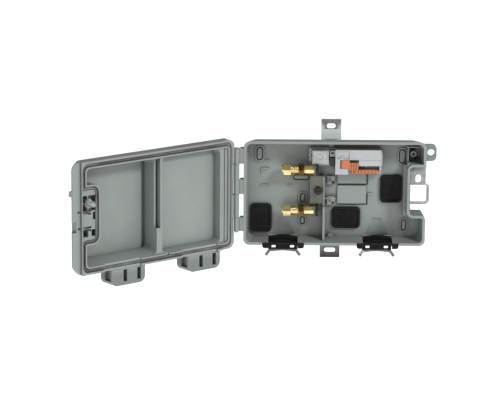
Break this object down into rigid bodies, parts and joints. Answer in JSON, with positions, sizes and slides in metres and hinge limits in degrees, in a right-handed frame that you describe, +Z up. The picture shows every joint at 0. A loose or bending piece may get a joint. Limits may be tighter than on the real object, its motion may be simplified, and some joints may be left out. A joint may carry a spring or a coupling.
{
  "type": "outdoor cable interface box",
  "caption": "Shallow wall box with a hinged domed cover, holding coax adapters, a telephone line module, rubber cable entries and steel mounting brackets.",
  "frame": {"origin": "centre of the base on the wall plane", "axes": "+X to the right seen from the front, +Y into the wall, +Z up"},
  "size_m": [0.3595, 0.1544, 0.144],
  "materials": {
    "grey_plastic": "moulded, fine grain",
    "zinc_steel": "zinc plated",
    "galvanised_steel": "galvanised, dull",
    "stained_steel": "galvanised, stained at its lower end",
    "black_rubber": "moulded rubber",
    "gasket_rubber": "grey foam rubber",
    "chromated_steel": "yellow chromate",
    "dark_brass": "darkened",
    "dark_steel": "black oxide",
    "gold_brass": "gold flashed",
    "white_plastic": "moulded",
    "black_plastic": "moulded",
    "clear_plastic": "clear",
    "orange_plastic": "moulded"
  },
  "bodies": {
    "base": {"base_housing": "grey_plastic", "top_bracket": "galvanised_steel", "bottom_bracket": "stained_steel", "bracket_screws": "zinc_steel", "strike_plate": "zinc_steel", "padlock_loop": "zinc_steel", "hinge_pin": "zinc_steel", "strain_yoke_left": "galvanised_steel", "strain_yoke_right": "galvanised_steel", "rear_grommet_left": "black_rubber", "rear_grommet_middle": "black_rubber", "rear_grommet_right": "black_rubber", "cable_grommet_left": "black_rubber", "cable_grommet_right": "black_rubber", "coax_bracket": "chromated_steel", "ground_screw": "dark_steel", "ground_washer": "dark_steel", "coax_adapter_upper": "gold_brass", "coax_adapter_lower": "gold_brass", "adapter_rings": "dark_brass", "adapter_nuts": "dark_steel", "adapter_contacts": "gold_brass", "port_caps": "gold_brass", "jack_contacts": "gold_brass", "line_terminals": "gold_brass", "adapter_insulators": "white_plastic", "module_base": "white_plastic", "line_jack": "white_plastic", "test_plug": "black_plastic", "cap_pin": "zinc_steel", "lever_pin": "zinc_steel"},
    "cover": {"cover": "grey_plastic", "cover_gasket": "gasket_rubber"},
    "cover_screw": {"cover_screw": "zinc_steel", "screw_clip": "zinc_steel"},
    "module_cap": {"module_cap": "clear_plastic"},
    "module_lever": {"module_lever": "orange_plastic"}
  },
  "joints": [
    {"name": "cover_hinge", "type": "hinge", "parent": "base", "child": "cover", "pos_m": [-0.098, -0.028, 0], "axis": [0, 0, -1], "range_deg": [-141, 29]},
    {"name": "cover_screw_turn", "type": "hinge", "parent": "cover", "child": "cover_screw", "pos_m": [-0.23913, -0.14228, 0.0145], "axis": [-0.6293, 0.7771, 0], "continuous": true},
    {"name": "cap_hinge", "type": "hinge", "parent": "base", "child": "module_cap", "pos_m": [-0.0242, -0.0114, 0.0361], "axis": [0, 0, -1], "range_deg": [0, 100]},
    {"name": "lever_hinge", "type": "hinge", "parent": "base", "child": "module_lever", "pos_m": [0.0085, -0.0195, 0.0276], "axis": [0, 0, -1], "range_deg": [0, 40]}
  ]
}
